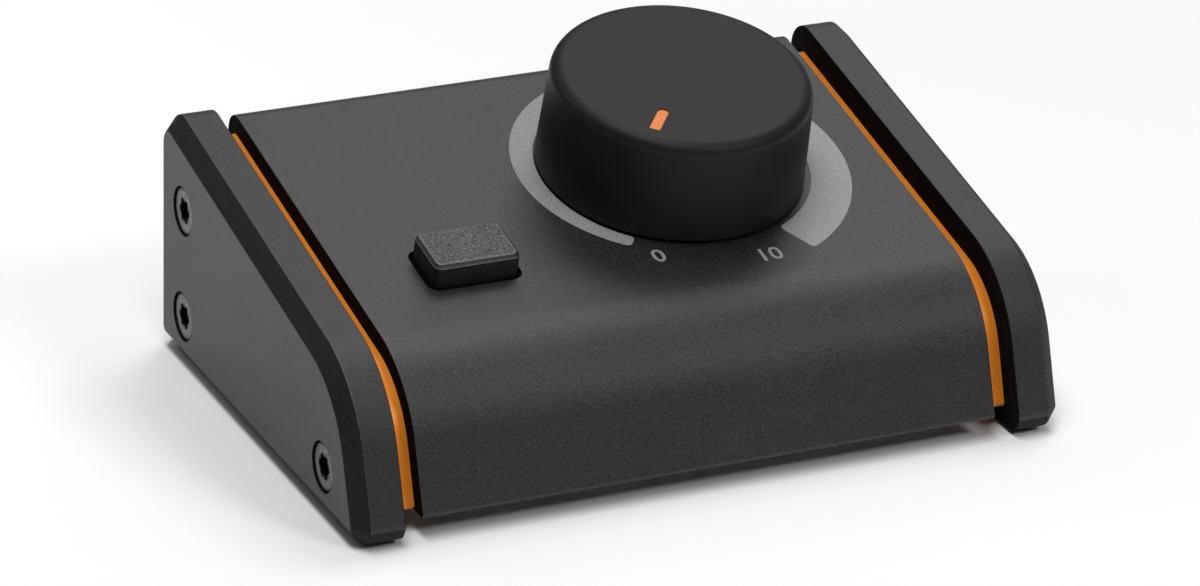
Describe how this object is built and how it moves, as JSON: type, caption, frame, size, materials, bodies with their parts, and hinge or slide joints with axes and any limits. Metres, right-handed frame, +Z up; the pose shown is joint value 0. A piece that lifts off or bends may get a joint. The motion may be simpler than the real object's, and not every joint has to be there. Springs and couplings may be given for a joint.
{
  "type": "studio monitor controller",
  "caption": "Wedge-shaped desktop volume controller with a large tilted knob, a push button, orange side seams and rear plug sockets.",
  "frame": {"origin": "centre of the overall box, at the table", "axes": "+X to the user's right across the width, +Y to the rear, +Z up"},
  "size_m": [0.12, 0.086, 0.0544],
  "materials": {
    "body_black": "fine black anodised",
    "accent_orange": "satin orange anodised",
    "screw_black": "black oxide",
    "zinc_steel": "zinc plated",
    "nickel": "nickel plated",
    "foot_rubber": "matt",
    "knob_soft": "soft-touch",
    "pointer_orange": "satin",
    "hub_plastic": "moulded",
    "cap_black": "spark-textured",
    "shaft_metal": "turned",
    "socket_plastic": "moulded",
    "header_plastic": "moulded",
    "stem_plastic": "moulded",
    "board_green": "solder mask",
    "track_carbon": "carbon film",
    "contact_brass": "plated",
    "spring_steel": "drawn wire",
    "lead_grey": "flexible insulation",
    "resistor_body": "coated"
  },
  "bodies": {
    "cabinet": {"body_shell": "body_black", "side_plate_left": "body_black", "side_plate_right": "body_black", "accent_plate_left": "accent_orange", "accent_plate_right": "accent_orange", "side_screws": "screw_black", "bottom_plate": "zinc_steel", "bottom_screws": "zinc_steel", "board_screws": "zinc_steel", "switch_board_screws": "zinc_steel", "switch_standoffs": "zinc_steel", "board_spacers": "zinc_steel", "pot_washer": "zinc_steel", "jack_washers": "zinc_steel", "pot_nut": "nickel", "pot_bushing": "nickel", "jack_nuts": "nickel", "rubber_feet": "foot_rubber", "jack_housing_1": "socket_plastic", "jack_housing_2": "socket_plastic", "jack_housing_3": "socket_plastic", "jack_housing_4": "socket_plastic", "switch_housing": "socket_plastic", "pot_case": "socket_plastic", "pot_header": "header_plastic", "switch_header": "header_plastic", "switch_plug": "header_plastic", "main_board": "board_green", "switch_board": "board_green", "pot_track": "track_carbon", "jack_contacts_1": "contact_brass", "jack_contacts_2": "contact_brass", "jack_contacts_3": "contact_brass", "jack_contacts_4": "contact_brass", "pot_terminals": "contact_brass", "switch_terminals": "contact_brass", "mono_spring": "spring_steel", "pot_ribbon": "lead_grey", "switch_lead": "lead_grey", "summing_resistors": "resistor_body"},
    "knob": {"knob_shell": "knob_soft", "knob_pointer": "pointer_orange", "knob_hub": "hub_plastic", "knob_clip": "spring_steel", "pot_shaft": "shaft_metal", "pot_wiper": "stem_plastic"},
    "button": {"mono_cap": "cap_black", "switch_plunger": "stem_plastic"}
  },
  "joints": [
    {"name": "volume_turn", "type": "hinge", "parent": "cabinet", "child": "knob", "pos_m": [0.0135, 0.00587, 0.033], "axis": [0, 0.2105, -0.9776], "range_deg": [0, 296]},
    {"name": "mono_press", "type": "slide", "parent": "cabinet", "child": "button", "axis": [0, 0.2105, -0.9776], "range_m": [0, 0.0025], "stiffness_N_per_m": 400, "springref_m": -0.001, "deforming": ["mono_spring"]}
  ]
}
